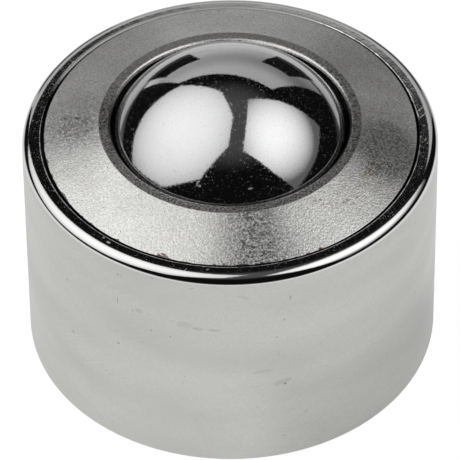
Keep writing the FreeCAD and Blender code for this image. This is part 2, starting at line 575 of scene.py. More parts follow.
def wall_colour(tree, place, unrolled):
    """Satin plate with faint brushing in two slants, pits in loose crowds, and single marks."""
    stretched = calculate_vector(tree, "MULTIPLY", place, WALL_CLOUD_STRETCH)
    clouds = noise(tree, stretched, *WALL_CLOUDS)
    colour = shaded(tree, WALL_COLOUR, between(tree, clouds, *NOISE_MIDDLE, *WALL_CLOUD_SHADES))
    left, right = (use_group(tree, BRUSHING, Unrolled=unrolled, **streaks)["Factor"]
                   for streaks in (BRUSHING_LEFT, BRUSHING_RIGHT))
    brushed = shaded(tree, colour, mix_colours(tree, patches(tree, place, BRUSHING_PATCHES), left, right))
    colour = mix_colours(tree, patches(tree, place, BRUSHING_SHOWN), colour, brushed)
    colour = shaded(tree, colour, use_group(tree, GRAIN, Place=place, **WALL_GRAIN)["Factor"])
    pits = multiply(tree, specks(tree, place, WALL_PITS), patches(tree, place, WALL_PIT_CROWDS))
    colour = darken(tree, colour, pits, WALL_PIT_DARKNESS)
    return darken(tree, colour, marks_mask(tree, unrolled, WALL_MARKS, wall_place)), clouds


def lip_colour(tree, place, turned, unshaded_gap):
    """Polished plate, with painted shade inside the gap but for one stretch, and worn at its inner edge."""
    # Painted shade on the inner face of the lip, down in the gap, but for one stretch
    inside = within(tree, turned["Radius"], LIP_INNER_RADIUS, LIP_GAP_SHADE_REACH)
    below = within(tree, turned["Height"], BODY_HEIGHT, GAP_SHADE_REACH)
    lip_gap_shade = multiply(tree, multiply(tree, inside, below), opposite(tree, unshaded_gap))
    edge = within(tree, turned["Radius"], LIP_INNER_RADIUS, LIP_WEAR_REACH)
    chips = patches(tree, place, LIP_CHIPS)
    worn = multiply(tree, edge, mix_colours(tree, unshaded_gap, chips, grey(LIP_EDGE_DARKNESS_AT_UNSHADED_GAP)))
    return mix_colours(tree, lip_gap_shade, darken(tree, LIP_COLOUR, worn), GAP_SHADE_AND_DIRT_COLOUR)


def lip_roughness(tree, place, turned, unshaded_gap):
    """Polish with fine nicks on the flat, deeper scratches, and a matt inner edge along the stretch without
    painted gap shade.
    """
    on_flat = within(tree, turned["Radius"], LIP_FLAT_RADIUS, LIP_FLAT_REACH)
    nicks = multiply(tree, patches(tree, place, LIP_NICKS), patches(tree, place, LIP_NICK_CROWDS))
    nicks = multiply(tree, nicks, multiply(tree, on_flat, LIP_NICK_STRENGTH))
    edge = within(tree, turned["Radius"], LIP_INNER_RADIUS, LIP_MATT_REACH)
    scratches = marks_mask(tree, place, LIP_SCRATCHES, lip_place)
    matt = larger(tree, nicks, larger(tree, scratches, multiply(tree, edge, unshaded_gap)))
    return mix_colours(tree, matt, grey(LIP_ROUGHNESS), grey(LIP_SCRATCH_ROUGHNESS))


def plated_steel():
    """Satin plated wall and a polished rolled lip."""
    material, tree, shader = new_material("plated_steel")
    place = object_place(tree)
    turned = use_group(tree, TURNED_PLACE, Place=place)
    lip = beyond(tree, turned["Height"], LIP_STARTS_Z, LIP_BLEND_REACH)
    unshaded_gap = towards(tree, place, UNSHADED_GAP_AZIMUTH, LIP_INNER_RADIUS, UNSHADED_GAP_SPREAD)
    wall, clouds = wall_colour(tree, place, turned["Unrolled"])
    colour = mix_colours(tree, lip, wall, lip_colour(tree, place, turned, unshaded_gap))
    feed(tree, shader.inputs["Base Color"], colour)
    satin = shaded(tree, grey(WALL_ROUGHNESS), between(tree, clouds, *NOISE_MIDDLE, *WALL_CLOUD_POLISH))
    roughness = mix_colours(tree, lip, satin, lip_roughness(tree, place, turned, unshaded_gap))
    feed(tree, shader.inputs["Roughness"], roughness)
    shader.inputs["Metallic"].default_value = 1.0
    feed(tree, shader.inputs["Normal"], bump(tree, noise(tree, place, *WALL_DENTS), *WALL_DENT_BUMP))
    return material


# Cap steel
CONE_COLOUR = (0.770, 0.766, 0.745, 1.0)
LAND_COLOUR = (0.350, 0.345, 0.330, 1.0)
STAIN_COLOUR = (0.400, 0.310, 0.190, 1.0)
RUST_COLOUR = (0.130, 0.070, 0.045, 1.0)
CONE_ROUGHNESS = 0.17
LAND_ROUGHNESS = 0.34
BORE_EDGE_ROUGHNESS = 0.14
CAP_CLOUDS = (140.0, 5.0, 0.6)
CAP_CLOUD_MIDDLE = (0.25, 0.75)
CAP_CLOUD_SHADES = (0.88, 1.07)
CAP_CLOUD_POLISH = (1.12, 0.90)
CAP_GRAIN = {"Grains_per_metre": 4800.0, "Depth": 1.3}
CAP_COARSE_GRAIN = (2800.0, 3.0, 0.6)
CAP_COARSE_SHARE = 0.5
CAP_GRAIN_BUMP = (0.85, 0.00004)
LAND_REACH = (-0.08, 0.08)
LAND_SPECKLE = ((4200.0, 2.0, 0.6), (0.34, 0.66, 0.35, 1.75))
# Painted light: the land is made lighter towards its front left and at its back
LAND_FRONT_AZIMUTH = -30
LAND_FRONT_SPREAD = (0.70, 0.98)
LAND_FRONT_PAINTED_LIGHT = (0.94, 1.12)
LAND_BACK_AZIMUTH = 190
LAND_BACK_SPREAD = (0.20, 0.90)
LAND_BACK_PAINTED_LIGHT = 0.44
LAND_BACK_EVENNESS = 0.7
# The edge of the bore takes the cone's colour and polish towards the back, and is darker elsewhere
BORE_EDGE_REACH = (0.18, 0.30)
BORE_EDGE_DARKNESS = 0.8
BRIGHT_BORE_EDGE_AZIMUTH = 180
BRIGHT_BORE_EDGE_SPREAD = (0.0, 0.45)
CONE_PITS = {"Cells_per_metre": 1500.0, "Dot_size": 0.20, "Share_of_cells": 0.25}
CONE_PIT_DARKNESS = 0.45
CONE_DOTS = {"Cells_per_metre": 4600.0, "Dot_size": 0.95, "Share_of_cells": 0.5}
CAP_SPOTS = ((3600.0, 2.0), (0.42, 0.60))
# Range of the mottle in the painted shade patches
PAINTED_SHADE_MOTTLE = (0.6, 1.3)
SMUDGE_SPOT_STRENGTH = 0.7
FLECK_DOT_STRENGTH = 0.9
FLECK_SPOT_STRENGTHS = (0.12, 0.55)
SPECKLED_AZIMUTH = 8  # middle of the sector of the cone with dark flecks
SPECKLED_REACH = (0, 19)  # degrees from that middle where the flecks begin to fade, and end
# Painted light: two sectors of the cone made lighter, at its front right and its front left
PAINTED_LIGHT_SECTORS = ((38, (8, 30), 1.09), (-66, (5, 28), 1.06))  # azimuth, reach in degrees, share of the colour
# Reaches of the painted gap shade on the step of the cap, and of its ragged, dirty edge on the foot of the
# cone
STEP_GAP_SHADE_REACH = (-0.06, -0.01)
RAGGED_SHADE_AND_DIRT_REACH = (-0.07, -0.02)
RAGGED_SHADE_AND_DIRT_STRENGTH = 0.85
DIRT_TEETH = ((620.0, 4.0, 0.7), (0.45, 0.75, 0.0, 0.32 * MM))
RUST_SPOTS = ((2400.0, 2.0), (0.40, 0.55))
DIRTY_EDGE_AZIMUTH = -35
DIRTY_EDGE_SPREAD = (0.35, 0.85)

CAP_STAINS = (
    ((372.0, 168.0), 2.60, 1.90, 60, 0.60),
    ((367.5, 174.5), 2.80, 1.50, 20, 0.60),
    ((362.5, 184.0), 2.00, 0.90, 20, 0.65),
    ((374.5, 186.5), 0.60, 0.50, 0, 0.80),
    ((345.0, 200.5), 1.40, 0.50, 45, 1.00),
    ((351.0, 200.5), 0.60, 0.40, 0, 0.70),
    ((356.0, 196.5), 0.50, 0.35, 0, 0.80),
    ((348.0, 189.0), 1.40, 0.60, -20, 0.55),
    ((341.0, 180.5), 0.90, 0.40, -10, 0.50),
    ((313.0, 200.0), 1.30, 0.80, 45, 0.60),
    ((320.0, 199.0), 0.50, 0.35, 40, 0.70),
    ((322.5, 204.0), 0.45, 0.30, 0, 0.60),
    ((331.0, 204.0), 0.90, 0.40, -30, 0.50),
    ((338.0, 207.5), 0.50, 0.30, 0, 0.45),
    ((389.0, 165.5), 1.00, 0.80, 0, 0.60),
    ((241.0, 41.0), 1.60, 0.60, 0, 0.70),
)
CAP_SMUDGES = (
    ((65.0, 118.5), 1.80, 0.80, 0, 0.90),
    ((76.0, 118.0), 0.90, 0.70, 0, 1.00),
    ((83.5, 124.0), 0.90, 0.80, 0, 0.95),
    ((90.0, 112.0), 1.40, 1.00, 0, 0.30),
    ((76.0, 128.0), 6.00, 5.00, 0, 0.62),
    ((78.0, 122.0), 12.00, 11.00, 0, 0.30),
    ((64.0, 133.0), 2.20, 1.20, 30, 0.26),
    ((95.0, 119.0), 1.60, 1.40, 0, 0.24),
    ((352.0, 148.0), 1.40, 1.60, 0, 0.45),
)
# Painted shade: broad, mottled dark patches on the right side of the cone
PAINTED_SHADE_PATCHES = (
    ((386.0, 149.0), 8.40, 12.00, 0, 0.47),
    ((380.0, 132.0), 9.00, 14.00, 0, 0.16),
)
GAP_RUST = (
    ((161.0, 254.0), 1.30, 0.60, -18, 1.0),
    ((224.0, 263.5), 0.50, 0.40, 0, 0.9),
    ((320.0, 248.0), 0.70, 0.50, 30, 1.0),
    ((307.5, 253.0), 0.80, 0.40, 25, 0.9),
    ((417.5, 135.0), 0.40, 0.50, 0, 0.8),
)


def gap_shade_and_dirt_on_cap(tree, colour, place, turned):
    """Painted shade of the gap on the step of the cap, with a ragged, dirty edge that creeps up the foot of
    the cone on one side, and rust in it.
    """
    unshaded_gap = towards(tree, place, UNSHADED_GAP_AZIMUTH, CAP_STEP_RADIUS, UNSHADED_GAP_SPREAD)
    # Painted shade of the gap on the step of the cap, but for one stretch
    step = beyond(tree, turned["Radius"], CAP_STEP_RADIUS, STEP_GAP_SHADE_REACH)
    colour = mix_colours(tree, multiply(tree, step, opposite(tree, unshaded_gap)), colour, GAP_SHADE_AND_DIRT_COLOUR)
    dirty = towards(tree, place, DIRTY_EDGE_AZIMUTH, CAP_STEP_RADIUS, DIRTY_EDGE_SPREAD)
    # Ragged, dirty edge of the painted gap shade, up the foot of the cone on one side
    teeth = multiply(tree, patches(tree, place, DIRT_TEETH), dirty)
    ragged_radius = add(tree, turned["Radius"], teeth)
    ragged = beyond(tree, ragged_radius, CAP_STEP_RADIUS, RAGGED_SHADE_AND_DIRT_REACH)
    ragged = multiply(tree, multiply(tree, ragged, RAGGED_SHADE_AND_DIRT_STRENGTH), opposite(tree, unshaded_gap))
    colour = mix_colours(tree, ragged, colour, GAP_SHADE_AND_DIRT_COLOUR)
    rust = multiply(tree, marks_mask(tree, place, GAP_RUST, cap_place), patches(tree, place, RUST_SPOTS))
    return mix_colours(tree, rust, colour, RUST_COLOUR)


def land_finish(tree, place, turned):
    """Speckled dark steel, lighter at its front left and at the back by painted light; at the back the edge
    of the bore is bright, in the cone's colour, and elsewhere it is darker.
    """
    speckled = shaded(tree, LAND_COLOUR, patches(tree, place, LAND_SPECKLE))
    front_left = towards(tree, place, LAND_FRONT_AZIMUTH, LAND_RADIUS, LAND_FRONT_SPREAD)
    back = towards(tree, place, LAND_BACK_AZIMUTH, LAND_RADIUS, LAND_BACK_SPREAD)
    speckled = mix_colours(tree, multiply(tree, back, LAND_BACK_EVENNESS), speckled, LAND_COLOUR)
    # Painted light at the front left and the back of the land
    front_painted_light = between(tree, front_left, 0.0, 1.0, *LAND_FRONT_PAINTED_LIGHT)
    colour = shaded(tree, speckled, add(tree, front_painted_light, multiply(tree, back, LAND_BACK_PAINTED_LIGHT)))
    edge = within(tree, turned["Radius"], BORE_RADIUS, BORE_EDGE_REACH)
    behind = towards(tree, place, BRIGHT_BORE_EDGE_AZIMUTH, BORE_RADIUS, BRIGHT_BORE_EDGE_SPREAD)
    bright_bore_edge = multiply(tree, edge, behind)
    colour = mix_colours(tree, bright_bore_edge, colour, CONE_COLOUR)
    colour = darken(tree, colour, multiply(tree, edge, opposite(tree, behind)), BORE_EDGE_DARKNESS)
    return colour, mix_colours(tree, bright_bore_edge, grey(LAND_ROUGHNESS), grey(BORE_EDGE_ROUGHNESS))


def cap_marks_and_painted_light(tree, colour, place, turned, on_cone):
    """Pits, brown stains, dark smudges, patches of painted shade, sectors of the cone made lighter by painted
    light, and flecks at its front.
    """
    colour = darken(tree, colour, specks(tree, place, CONE_PITS), CONE_PIT_DARKNESS)
    spots = patches(tree, place, CAP_SPOTS)
    stains = multiply(tree, marks_mask(tree, place, CAP_STAINS, cap_place), spots)
    colour = mix_colours(tree, stains, colour, STAIN_COLOUR)
    dots = specks(tree, place, CONE_DOTS)
    dotted = larger(tree, dots, multiply(tree, spots, SMUDGE_SPOT_STRENGTH))
    colour = darken(tree, colour, multiply(tree, marks_mask(tree, place, CAP_SMUDGES, cap_place), dotted))
    # Painted shade patches on the right side of the cone, mottled by the spots
    uneven = between(tree, spots, 0.0, 1.0, *PAINTED_SHADE_MOTTLE)
    colour = darken(tree, colour, multiply(tree, marks_mask(tree, place, PAINTED_SHADE_PATCHES, cap_place), uneven))
    # Painted light that makes two sectors of the cone lighter
    for azimuth, reach, share in PAINTED_LIGHT_SECTORS:
        painted_light = sector(tree, turned, azimuth, reach)
        colour = shaded(tree, colour, between(tree, painted_light, 0.0, 1.0, 1.0, share))
    speckled = multiply(tree, sector(tree, turned, SPECKLED_AZIMUTH, SPECKLED_REACH), on_cone)
    fleck_spots = between(tree, spots, 0.0, 1.0, *FLECK_SPOT_STRENGTHS)
    flecks = larger(tree, multiply(tree, dots, FLECK_DOT_STRENGTH), fleck_spots)
    return darken(tree, colour, multiply(tree, speckled, flecks))


def cap_steel():
    """Pressed steel with a fine satin grain, a rough dark land, brown stains and dark smudges."""
    material, tree, shader = new_material("cap_steel")
    shift = [length * MM for length in CAP_SHIFT]
    place = calculate_vector(tree, "SUBTRACT", object_place(tree), shift)
    turned = use_group(tree, TURNED_PLACE, Place=place)
    land = within(tree, turned["Radius"], LAND_RADIUS, LAND_REACH)
    grain = use_group(tree, GRAIN, Place=place, **CAP_GRAIN)
    clouds = noise(tree, place, *CAP_CLOUDS)
    land_colour, land_roughness = land_finish(tree, place, turned)
    colour = mix_colours(tree, land, CONE_COLOUR, land_colour)
    colour = shaded(tree, colour, between(tree, clouds, *CAP_CLOUD_MIDDLE, *CAP_CLOUD_SHADES))
    colour = shaded(tree, colour, grain["Factor"])
    colour = cap_marks_and_painted_light(tree, colour, place, turned, opposite(tree, land))
    feed(tree, shader.inputs["Base Color"], gap_shade_and_dirt_on_cap(tree, colour, place, turned))

    roughness = mix_colours(tree, land, grey(CONE_ROUGHNESS), land_roughness)
    roughness = shaded(tree, roughness, between(tree, clouds, *CAP_CLOUD_MIDDLE, *CAP_CLOUD_POLISH))
    feed(tree, shader.inputs["Roughness"], roughness)
    shader.inputs["Metallic"].default_value = 1.0
    coarse = multiply(tree, noise(tree, place, *CAP_COARSE_GRAIN), CAP_COARSE_SHARE)
    feed(tree, shader.inputs["Normal"], bump(tree, add(tree, grain["Raw"], coarse), *CAP_GRAIN_BUMP))
    return material


# Chrome, felt and the steel inside
BALL_COLOUR = (0.765, 0.766, 0.772, 1.0)
BALL_ROUGHNESS = 0.035
BALL_WEAR = (180.0, 4.0, 0.6)
BALL_WEAR_SHADES = (0.97, 1.02)
BALL_WEAR_ROUGHNESS = (0.35, 0.75, BALL_ROUGHNESS, BALL_ROUGHNESS * 2)
BALL_DUST = {"Cells_per_metre": 700.0, "Dot_size": 0.07, "Share_of_cells": 0.35}
BALL_DUST_DARKNESS = 0.25
BALL_DUST_ROUGHNESS = 0.3
FINE_DUST = (4400.0, 2.0, 0.6)
FINE_DUST_STEP = (0.56, 0.72)
FINE_DUST_BUMP = (0.5, 0.000005)
FINE_DUST_ROUGHNESS = 0.25
FINE_DUST_MATTNESS = 0.09
LINT_COLOUR = (0.700, 0.700, 0.690, 1.0)
BALL_MARKS = (
    ((198.0, 181.5), 0.45, 0.20, 20, 0.80),
    ((196.5, 183.5), 0.22, 0.40, 0, 0.80),
    ((199.0, 185.5), 0.45, 0.20, -20, 0.80),
    ((250.0, 188.0), 0.70, 0.16, 10, 0.70),
    ((163.0, 123.5), 0.20, 0.20, 0, 0.40),
    ((143.5, 116.5), 0.20, 0.20, 0, 0.50),
    ((135.0, 160.5), 0.20, 0.20, 0, 0.50),
)
FELT_DARK = (0.045, 0.044, 0.046, 1.0)
FELT_PALE = (0.130, 0.128, 0.125, 1.0)
FELT_ROUGHNESS = (0.98, 0.86)
FELT_FIBRES = (5200.0, 4.0, 0.7, 1.5)
FELT_FIBRE_SHARE = 0.7
FELT_TUFTS = (900.0, 3.0)
FELT_TUFT_SHARE = 0.3
FELT_SHEEN = 0.3
FELT_BUMP = (0.6, 0.0001)
RACE_FINISH = (0.50, 0.30)  # level of its grey, roughness
BEARING_FINISH = (0.66, 0.12)
INNER_GRAIN = {"Grains_per_metre": 3000.0, "Depth": 0.14}
OIL_FILM = (220.0, 4.0)
OIL_FILM_SHADE = 0.85
OIL_FILM_ROUGHNESS = 1.3


def chromed_ball():
    """Mirror chrome with faint handling marks and two sizes of dust."""
    material, tree, shader = new_material("chromed_ball")
    place = object_place(tree)
    dust = specks(tree, place, BALL_DUST)
    haze = noise(tree, place, *FINE_DUST)
    fine_dust = between(tree, haze, *FINE_DUST_STEP)
    wear = noise(tree, place, *BALL_WEAR)
    colour = shaded(tree, BALL_COLOUR, between(tree, wear, *NOISE_MIDDLE, *BALL_WEAR_SHADES))
    colour = darken(tree, colour, dust, BALL_DUST_DARKNESS)
    lint = marks_mask(tree, place, BALL_MARKS, ball_place)
    feed(tree, shader.inputs["Base Color"], mix_colours(tree, lint, colour, LINT_COLOUR))
    rough_wear = between(tree, wear, *BALL_WEAR_ROUGHNESS)
    coarse_roughness = multiply(tree, dust, BALL_DUST_ROUGHNESS)
    dusty = larger(tree, coarse_roughness, multiply(tree, fine_dust, FINE_DUST_ROUGHNESS))
    feed(tree, shader.inputs["Roughness"], larger(tree, rough_wear, dusty))
    matt = larger(tree, lint, multiply(tree, fine_dust, FINE_DUST_MATTNESS))
    feed(tree, shader.inputs["Metallic"], opposite(tree, matt))
    feed(tree, shader.inputs["Normal"], bump(tree, haze, *FINE_DUST_BUMP))
    return material


def felt():
    """Dark wool felt: short crossed fibres with a matt, uneven nap."""
    material, tree, shader = new_material("felt")
    place = object_place(tree)
    fibres = noise(tree, place, *FELT_FIBRES)
    tufts = multiply(tree, noise(tree, place, *FELT_TUFTS), FELT_TUFT_SHARE)
    tone = add(tree, multiply(tree, fibres, FELT_FIBRE_SHARE), tufts)
    colour = mix_colours(tree, between(tree, tone, *NOISE_MIDDLE), FELT_DARK, FELT_PALE)
    feed(tree, shader.inputs["Base Color"], colour)
    feed(tree, shader.inputs["Roughness"], between(tree, tone, *NOISE_MIDDLE, *FELT_ROUGHNESS))
    shader.inputs["Sheen Weight"].default_value = FELT_SHEEN
    feed(tree, shader.inputs["Normal"], bump(tree, fibres, *FELT_BUMP))
    return material


def inner_steel(name, level, roughness):
    """Oiled steel of the race and the small balls, with faint running marks."""
    material, tree, shader = new_material(name)
    place = object_place(tree)
    film = noise(tree, place, *OIL_FILM)
    grain = use_group(tree, GRAIN, Place=place, **INNER_GRAIN)["Factor"]
    colour = mix_colours(tree, between(tree, film, *NOISE_MIDDLE), grey(level * OIL_FILM_SHADE), grey(level))
    feed(tree, shader.inputs["Base Color"], shaded(tree, colour, grain))
    film_roughness = between(tree, film, *NOISE_MIDDLE, roughness * OIL_FILM_ROUGHNESS, roughness)
    feed(tree, shader.inputs["Roughness"], film_roughness)
    shader.inputs["Metallic"].default_value = 1.0
    return material


# Pieces


def turned_section(corners, closed):
    """Half section in the XZ plane, from (radius, height, rounding) corners in millimetres."""
    section = bmesh.new()
    points = [section.verts.new((radius * MM, 0, height * MM)) for radius, height, _ in corners]
    following = points[1:] + points[:1] if closed else points[1:]
    for start, end in zip(points, following):
        section.edges.new((start, end))
    for point, (_, _, rounding) in zip(points, corners):
        if not rounding:
            continue
        legs = [(edge.other_vert(point).co - point.co).normalized() for edge in point.link_edges]
        setback = rounding * MM / math.tan(legs[0].angle(legs[1]) / 2)
        bmesh.ops.bevel(section, geom=[point], offset=setback, offset_type="OFFSET", segments=ROUND_STEPS,
                        profile=0.5, affect="VERTICES", clamp_overlap=False, material=-1)
    return section


def support_long_edges(section):
    """Split each long straight run near both ends, so that its smooth shading stays even."""
    for edge in [edge for edge in section.edges if edge.calc_length() > LONG_RUN * MM]:
        share = min(SUPPORT_SHARE, SUPPORT_DISTANCE * MM / edge.calc_length())
        far = edge.verts[1]
        bmesh.utils.edge_split(edge, edge.verts[0], share)
        remaining = [other for other in far.link_edges if other.calc_length() > LONG_REST * MM]
        for other in remaining[:1]:
            bmesh.utils.edge_split(other, far, share)


def turned_piece(name, corners, material, closed=True, seat=Matrix()):
    """Piece of revolution about Z, set down by a seat matrix. An open section begins and ends on the axis."""
    section = turned_section(corners, closed)
    support_long_edges(section)
    bmesh.ops.spin(section, geom=section.verts[:] + section.edges[:], cent=CENTRE_LINE, axis=UP,
                   dvec=(0, 0, 0), angle=2 * math.pi, steps=TURN_STEPS, use_merge=True, use_duplicate=False)
    bmesh.ops.remove_doubles(section, verts=section.verts[:], dist=MERGE_DISTANCE * MM)
    bmesh.ops.recalc_face_normals(section, faces=section.faces[:])
    bmesh.ops.transform(section, matrix=seat, verts=section.verts[:])
    return finished_piece(name, section, material)


def finished_piece(name, shape, material):
    mesh = bpy.data.meshes.new(name)
    shape.to_mesh(mesh)
    shape.free()
    mesh.shade_smooth()
    mesh.set_sharp_from_angle(angle=math.radians(SHARP_EDGE_DEGREES))
    mesh.materials.append(material)
    piece = bpy.data.objects.new(name, mesh)
    bpy.context.scene.collection.objects.link(piece)
    return piece


def make_housing(material):
    piece = turned_piece("housing_shell", (
        (0, 0, 0),
        (BODY_RADIUS, 0, BASE_EDGE_ROUND),
        (BODY_RADIUS, BODY_HEIGHT - LIP_FALL, LIP_OUTER_ROUND),
        (LIP_LEVEL_RADIUS, BODY_HEIGHT - LIP_FALL, 0),
        (LIP_INNER_RADIUS, BODY_HEIGHT, LIP_EDGE_ROUND),
        (LIP_INNER_RADIUS, LIP_UNDERSIDE_Z, 0),
        (HOUSING_INNER_RADIUS, LIP_UNDERSIDE_Z, 0),
        (HOUSING_INNER_RADIUS, FLOOR_THICKNESS, INSIDE_CORNER_ROUND),
        (0, FLOOR_THICKNESS, 0),
    ), material, closed=False)
    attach(piece, "housing")
    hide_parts("housing")


def make_cap(material):
    pivot = UP * LAND_Z * MM
    lean = Matrix.Rotation(math.radians(CAP_LEAN_DEGREES), 4, "X")
    seat = Matrix.Translation(Vector(CAP_SHIFT) * MM + pivot) @ lean @ Matrix.Translation(-pivot)
    flange_top, flange_foot = LIP_UNDERSIDE_Z - CAP_SEAT_ROOM, CAP_FLANGE_LOWER_Z + CAP_SEAT_ROOM
    piece = turned_piece("cap_cone", (
        (CAP_FLANGE_RADIUS, flange_foot, 0),
        (CAP_FLANGE_RADIUS, flange_top, 0),
        (CAP_STEP_RADIUS, flange_top, 0),
        (CAP_STEP_RADIUS, CONE_FOOT_Z, CONE_FOOT_ROUND),
        (LAND_RADIUS, LAND_Z, 0),
        (BORE_RADIUS, LAND_Z, BORE_EDGE_ROUND),
        (BORE_RADIUS, LAND_Z - BORE_WALL_HEIGHT, 0),
        (BORE_UNDERSIDE_RADIUS, LAND_Z - CAP_SHEET_DROP, 0),
        (LAND_RADIUS, LAND_Z - CAP_SHEET_DROP, 0),
        (CAP_INNER_RADIUS, CAP_UNDERSIDE_Z, 0),
        (CAP_INNER_RADIUS, flange_foot, 0),
    ), material, seat=seat)
    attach(piece, "housing")
    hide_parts("cap_ring")


def make_ball(material):
    shape = bmesh.new()
    bmesh.ops.create_uvsphere(shape, u_segments=BALL_MERIDIANS, v_segments=BALL_PARALLELS,
                              radius=BALL_RADIUS * MM, matrix=Matrix.Translation((0, 0, BALL_Z * MM)))
    piece = finished_piece("chromed_load_ball", shape, material)
    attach(piece, "load_ball")
    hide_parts("load_ball")


def dress_inner_parts():
    """The pieces inside keep their CAD shapes and get their own finishes."""
    finishes = {
        "race_cup": inner_steel("race_steel", *RACE_FINISH),
        "wiper_ring": felt(),
    }
    bearing = inner_steel("bearing_steel", *BEARING_FINISH)
    for name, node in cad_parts.items():
        if name.startswith("bearing_"):
            finishes[name] = bearing
        if name in finishes:
            node.data.materials.clear()
            node.data.materials.append(finishes[name])


# Studio
# Sizes are in metres, and places are from the centre line.

# Floor, and the sheet of paper on it that the metal mirrors
FLOOR_RADIUS = 0.70
FLOOR_SIDES = 96
FLOOR_SHADE_SHARE = 0.22
FLOOR_GLOW = 0.93
PAPER_LEVEL = 0.64
PAPER_HALF_WIDTH = 0.19
PAPER_FRONT = -0.135
PAPER_SOFTNESS = 0.02
PAPER_BEHIND_LEVEL = 0.47
PAPER_BEHIND = (0.02, 0.13)
PAPER_SIDEWAYS = (-0.04, 0.20)
PAPER_SIDE_SHADES = (1.06, 0.58)
PAPER_SHADE_LEVEL = 0.74  # where the object shades the paper, close to it at its front right
PAPER_SHADE_RADII = (0.018, 0.046)
PAPER_SHADE_RIGHT = (-0.002, 0.012)
PAPER_SHADE_FRONT = (-0.005, 0.010)

# Softboxes: the outline is where the ball mirrors their corners, and the middle is where they stand, both as
# azimuth and elevation in degrees. Each panel is brightest at its bright spot, and falls off with the square
# of the distance from it, sideways and up.
LEFT_BOX = {
    "outline": ((-146.0, 32.0), (-169.5, 59.6), (153.5, 84.3), (-4.3, 68.2), (-32.4, 35.7), (-61.8, 14.4),
                (-97.8, 3.6), (-112.9, 9.6), (-125.3, 16.5)),
    "middle": (-91.4, 49.0),
    "distance": 0.42,
    "level": 1.12,
    "bright_spot": (0.005, 0.108),
    "fall": (0.583, 0.544),
}
RIGHT_BOX = {
    "outline": ((150.2, 63.6), (129.2, 42.7), (115.1, 15.2), (91.0, 15.2), (58.4, 13.1), (47.9, 34.5),
                (23.9, 62.8)),
    "middle": (83.3, 48.7),
    "distance": 0.28,
    "level": 1.25,
    "bright_spot": (0.033, 0.107),
    "fall": (1.346, 1.957),
}
BOX_LEAST_SHARE = 0.1

BACKDROP_DISTANCE = 1.05
BACKDROP_CORNERS = ((-0.68, -0.06), (0.80, -0.06), (0.76, 1.16), (-0.66, 0.70))
BACKDROP_FOOT_LEVEL = 0.47
BACKDROP_FOOT_HEIGHTS = (-0.03, 0.30)
BACKDROP_MIDDLE_LEVEL = 0.295
BACKDROP_TOP_LEVEL = 0.45
BACKDROP_TOP_HEIGHTS = (0.33, 0.70)
BACKDROP_FALL = 0.70  # share of the level lost per metre to the right, at the foot
BACKDROP_FALL_ABOVE = 0.2  # share of that loss which is left above
BACKDROP_FALL_HEIGHTS = (0.20, 0.85)
BACKDROP_LEFT_GAIN = 0.65  # share of that loss by which the left side gains
CARD_DISTANCE = 1.03
CARD_FOOT_DISTANCE = 0.22
CARD_CLEARANCE = 1.0  # above the paper, in millimetres
CARD_TONE = 0.14
CARD_LEFT = (-168.5, -151.5, 10.5)  # azimuths of its near and far side, and elevation of its top
CARD_RIGHT = (166.0, 151.0, 14.5)
STUDIO_DARK = 0.004
STUDIO_CEILING = 0.068
CEILING_START = (0.70, 0.97)  # upward parts of a direction


def stage_piece(name, shape, material):
    piece = finished_piece(name, shape, material)
    return piece


def seen_in_gloss(tree):
    """1 for what a gloss or a clear piece shows, 0 for the camera and for light on the object."""
    path = tree.nodes.new("ShaderNodeLightPath").outputs
    return larger(tree, path["Is Glossy Ray"], path["Is Transmission Ray"])


def seen_by_camera(tree):
    return tree.nodes.new("ShaderNodeLightPath").outputs["Is Camera Ray"]


def paper_level(tree):
    """How bright the sheet of paper looks in the metal: dimmer behind, to the sides, and in the shade."""
    x, y, _ = separate(tree, object_place(tree))
    from_middle = calculate(tree, "ABSOLUTE", x)
    sideways = between(tree, from_middle, *PAPER_SIDEWAYS, *PAPER_SIDE_SHADES)
    behind_level = multiply(tree, sideways, PAPER_BEHIND_LEVEL)
    level = mix_colours(tree, between(tree, y, *PAPER_BEHIND), grey(PAPER_LEVEL), behind_level)
    close = up_to(tree, calculate(tree, "SQRT", sum_of_squares(tree, x, y)), *PAPER_SHADE_RADII)
    front_right = multiply(tree, between(tree, x, *PAPER_SHADE_RIGHT), up_to(tree, y, *PAPER_SHADE_FRONT))
    shade = between(tree, multiply(tree, close, front_right), 0.0, 1.0, 1.0, PAPER_SHADE_LEVEL)
    across = up_to(tree, from_middle, PAPER_HALF_WIDTH, PAPER_HALF_WIDTH + PAPER_SOFTNESS)
    inside_front = between(tree, y, PAPER_FRONT - PAPER_SOFTNESS, PAPER_FRONT)
    return multiply(tree, multiply(tree, level, shade), multiply(tree, across, inside_front))


def floor_glow(tree):
    """White to the camera, and in the metal a pale sheet of paper that runs back to the backdrop."""
    in_gloss = multiply(tree, paper_level(tree), seen_in_gloss(tree))
    return add(tree, multiply(tree, seen_by_camera(tree), FLOOR_GLOW), in_gloss)


def stage_material(name):
    """Material with no shader yet: the tree and its surface socket."""
    material = bpy.data.materials.new(name)
    material.use_nodes = True
    tree = material.node_tree
    tree.nodes.clear()
    return material, tree, tree.nodes.new("ShaderNodeOutputMaterial").inputs["Surface"]


def glow_shader(tree, strength):
    glow = tree.nodes.new("ShaderNodeEmission")
    feed(tree, glow.inputs["Strength"], strength)
    return glow.outputs[0]


def glow_material(name, strength_from):
    """Material that only glows; strength_from(tree) gives its strength."""
    material, tree, surface = stage_material(name)
    feed(tree, surface, glow_shader(tree, strength_from(tree)))
    return material


